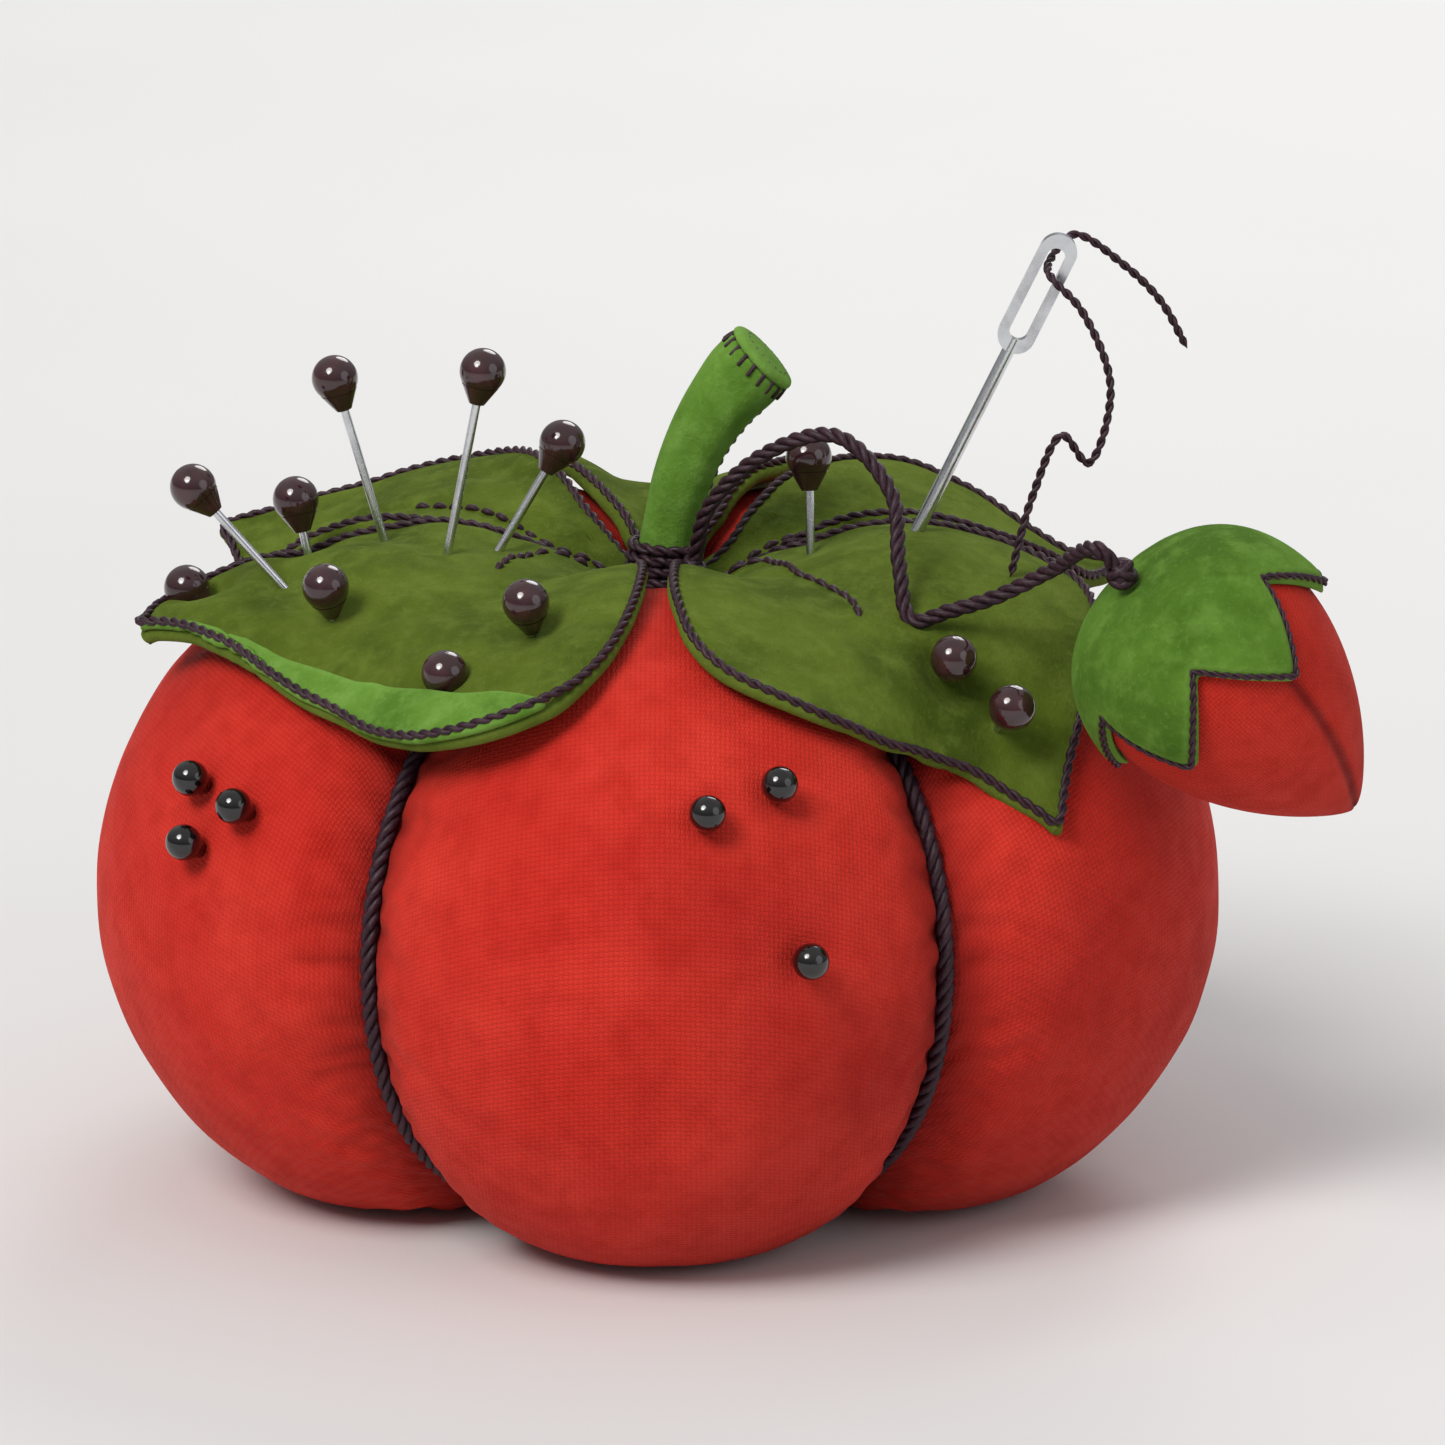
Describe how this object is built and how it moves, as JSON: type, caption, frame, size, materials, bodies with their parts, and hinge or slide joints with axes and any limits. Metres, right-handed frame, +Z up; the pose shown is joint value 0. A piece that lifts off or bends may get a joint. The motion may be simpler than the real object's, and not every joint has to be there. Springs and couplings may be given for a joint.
{
  "type": "pin cushion",
  "caption": "Puffed segmented cushion for pins, cinched with floss, with felt leaves and stem, ball-head pins, a threaded needle and a small emery on a cord.",
  "frame": {"origin": "centre of the cushion's underside, on the surface it rests on", "axes": "+Z up along the cushion's middle, -Y toward the viewer's front lobe, +X to the side the emery hangs on"},
  "size_m": [0.086, 0.0756, 0.0673],
  "materials": {
    "red_cotton": "plain-weave cotton, warm tomato red",
    "stuffing": "off-white packed fibre",
    "green_felt": "olive-green wool felt",
    "stem_felt": "bright leaf-green wool felt",
    "plum_thread": "dark plum twisted cotton",
    "steel": "bright drawn steel wire",
    "plum_bead": "glossy dark plum",
    "black_bead": "glossy black",
    "emery_grit": "dark fine abrasive grit"
  },
  "bodies": {
    "cushion": {"gore_front": "red_cotton", "gore_right": "red_cotton", "gore_back_right": "red_cotton", "gore_back_left": "red_cotton", "gore_left": "red_cotton", "filling": "stuffing", "cinch_floss": "plum_thread", "base_patch": "green_felt", "leaf_front_left": "green_felt", "leaf_front_right": "green_felt", "stem_cover": "stem_felt", "stem_core": "stuffing", "stem_end_disc": "stem_felt", "cord_arch": "plum_thread"},
    "leaf_back_right": {"leaf_back_right": "green_felt"},
    "leaf_back": {"leaf_back": "green_felt"},
    "leaf_back_left": {"leaf_back_left": "green_felt"},
    "cord": {"cord_tail": "plum_thread"},
    "emery_loop": {"emery_knot": "plum_thread"},
    "emery": {"emery_cover": "red_cotton", "emery_sand": "emery_grit", "emery_cap": "green_felt"},
    "needle": {"needle": "steel", "needle_thread": "plum_thread"},
    "pin_cheek_1": {"pin_shaft_cheek_1": "steel", "pin_head_cheek_1": "black_bead"},
    "pin_cheek_2": {"pin_shaft_cheek_2": "steel", "pin_head_cheek_2": "black_bead"},
    "pin_cheek_3": {"pin_shaft_cheek_3": "steel", "pin_head_cheek_3": "black_bead"},
    "pin_front_1": {"pin_shaft_front_1": "steel", "pin_head_front_1": "black_bead"},
    "pin_front_2": {"pin_shaft_front_2": "steel", "pin_head_front_2": "black_bead"},
    "pin_front_3": {"pin_shaft_front_3": "steel", "pin_head_front_3": "black_bead"},
    "pin_leaf_1": {"pin_shaft_leaf_1": "steel", "pin_head_leaf_1": "plum_bead"},
    "pin_leaf_2": {"pin_shaft_leaf_2": "steel", "pin_head_leaf_2": "plum_bead"},
    "pin_leaf_3": {"pin_shaft_leaf_3": "steel", "pin_head_leaf_3": "plum_bead"},
    "pin_leaf_4": {"pin_shaft_leaf_4": "steel", "pin_head_leaf_4": "plum_bead"},
    "pin_leaf_5": {"pin_shaft_leaf_5": "steel", "pin_head_leaf_5": "plum_bead"},
    "pin_leaf_6": {"pin_shaft_leaf_6": "steel", "pin_head_leaf_6": "plum_bead"},
    "pin_leaf_7": {"pin_shaft_leaf_7": "steel", "pin_head_leaf_7": "plum_bead"},
    "pin_leaf_8": {"pin_shaft_leaf_8": "steel", "pin_head_leaf_8": "plum_bead"},
    "pin_leaf_9": {"pin_shaft_leaf_9": "steel", "pin_head_leaf_9": "plum_bead"},
    "pin_right_1": {"pin_shaft_right_1": "steel", "pin_head_right_1": "plum_bead"},
    "pin_right_2": {"pin_shaft_right_2": "steel", "pin_head_right_2": "plum_bead"},
    "pin_right_3": {"pin_shaft_right_3": "steel", "pin_head_right_3": "plum_bead"}
  },
  "joints": [
    {"name": "pin_cheek_1_slide", "type": "slide", "parent": "cushion", "child": "pin_cheek_1", "axis": [-0.5557, -0.6862, 0.4695], "range_m": [0, 0.026]},
    {"name": "pin_cheek_2_slide", "type": "slide", "parent": "cushion", "child": "pin_cheek_2", "axis": [-0.5557, -0.6862, 0.4695], "range_m": [0, 0.026]},
    {"name": "pin_cheek_3_slide", "type": "slide", "parent": "cushion", "child": "pin_cheek_3", "axis": [-0.5557, -0.6862, 0.4695], "range_m": [0, 0.026]},
    {"name": "pin_front_1_slide", "type": "slide", "parent": "cushion", "child": "pin_front_1", "axis": [0.1018, -0.7242, 0.682], "range_m": [0, 0.026]},
    {"name": "pin_front_2_slide", "type": "slide", "parent": "cushion", "child": "pin_front_2", "axis": [0.1018, -0.7242, 0.682], "range_m": [0, 0.026]},
    {"name": "pin_front_3_slide", "type": "slide", "parent": "cushion", "child": "pin_front_3", "axis": [0.3304, -0.9077, 0.2588], "range_m": [0, 0.026]},
    {"name": "pin_leaf_1_slide", "type": "slide", "parent": "cushion", "child": "pin_leaf_1", "axis": [-0.171, -0.2962, 0.9397], "range_m": [0, 0.026]},
    {"name": "pin_leaf_2_slide", "type": "slide", "parent": "cushion", "child": "pin_leaf_2", "axis": [-0.171, -0.2962, 0.9397], "range_m": [0, 0.026]},
    {"name": "pin_leaf_3_slide", "type": "slide", "parent": "cushion", "child": "pin_leaf_3", "axis": [-0.171, -0.2962, 0.9397], "range_m": [0, 0.026]},
    {"name": "pin_leaf_4_slide", "type": "slide", "parent": "cushion", "child": "pin_leaf_4", "axis": [-0.6557, 0.0229, 0.7547], "range_m": [-0.007, 0.019]},
    {"name": "pin_leaf_5_slide", "type": "slide", "parent": "cushion", "child": "pin_leaf_5", "axis": [-0.2116, 0.1173, 0.9703], "range_m": [-0.0015, 0.0245]},
    {"name": "pin_leaf_6_slide", "type": "slide", "parent": "cushion", "child": "pin_leaf_6", "axis": [-0.676, 0.246, 0.6947], "range_m": [0, 0.026]},
    {"name": "pin_leaf_7_slide", "type": "slide", "parent": "cushion", "child": "pin_leaf_7", "axis": [-0.2714, -0.0479, 0.9613], "range_m": [-0.0095, 0.0165]},
    {"name": "pin_leaf_8_slide", "type": "slide", "parent": "cushion", "child": "pin_leaf_8", "axis": [0.1901, -0.0166, 0.9816], "range_m": [-0.0105, 0.0155]},
    {"name": "pin_leaf_9_slide", "type": "slide", "parent": "cushion", "child": "pin_leaf_9", "axis": [0.5072, 0.0894, 0.8572], "range_m": [-0.006, 0.02]},
    {"name": "pin_right_1_slide", "type": "slide", "parent": "cushion", "child": "pin_right_1", "axis": [-0.0218, 0.1549, 0.9877], "range_m": [-0.004, 0.022]},
    {"name": "pin_right_2_slide", "type": "slide", "parent": "cushion", "child": "pin_right_2", "axis": [0.2785, -0.7255, 0.6293], "range_m": [0, 0.026]},
    {"name": "pin_right_3_slide", "type": "slide", "parent": "cushion", "child": "pin_right_3", "axis": [0.2785, -0.7255, 0.6293], "range_m": [0, 0.026]},
    {"name": "needle_slide", "type": "slide", "parent": "cushion", "child": "needle", "axis": [0.4383, 0.0077, 0.8988], "range_m": [0, 0.022]},
    {"name": "cord_lift", "type": "hinge", "parent": "cushion", "child": "cord", "pos_m": [0.0172, -0.0174, 0.0435], "axis": [-0.4659, -0.8849, 0], "range_deg": [0, 40]},
    {"name": "emery_tilt", "type": "hinge", "parent": "cord", "child": "emery_loop", "pos_m": [0.03114, -0.02474, 0.04859], "axis": [0.29, -0.957, 0], "range_deg": [0, 30]},
    {"name": "emery_spin", "type": "hinge", "parent": "emery_loop", "child": "emery", "pos_m": [0.03114, -0.02474, 0.04859], "axis": [0.662, 0.2006, -0.7222], "continuous": true},
    {"name": "leaf_back_right_lift", "type": "hinge", "parent": "cushion", "child": "leaf_back_right", "pos_m": [0.00289, 0.00138, 0.0387], "axis": [0.4305, -0.9026, 0], "range_deg": [0, 15]},
    {"name": "leaf_back_lift", "type": "hinge", "parent": "cushion", "child": "leaf_back", "pos_m": [0.00017, 0.0032, 0.0387], "axis": [0.9986, -0.0523, 0], "range_deg": [0, 15]},
    {"name": "leaf_back_left_lift", "type": "hinge", "parent": "cushion", "child": "leaf_back_left", "pos_m": [-0.00273, 0.00167, 0.0387], "axis": [0.5225, 0.8526, 0], "range_deg": [0, 15]}
  ]
}
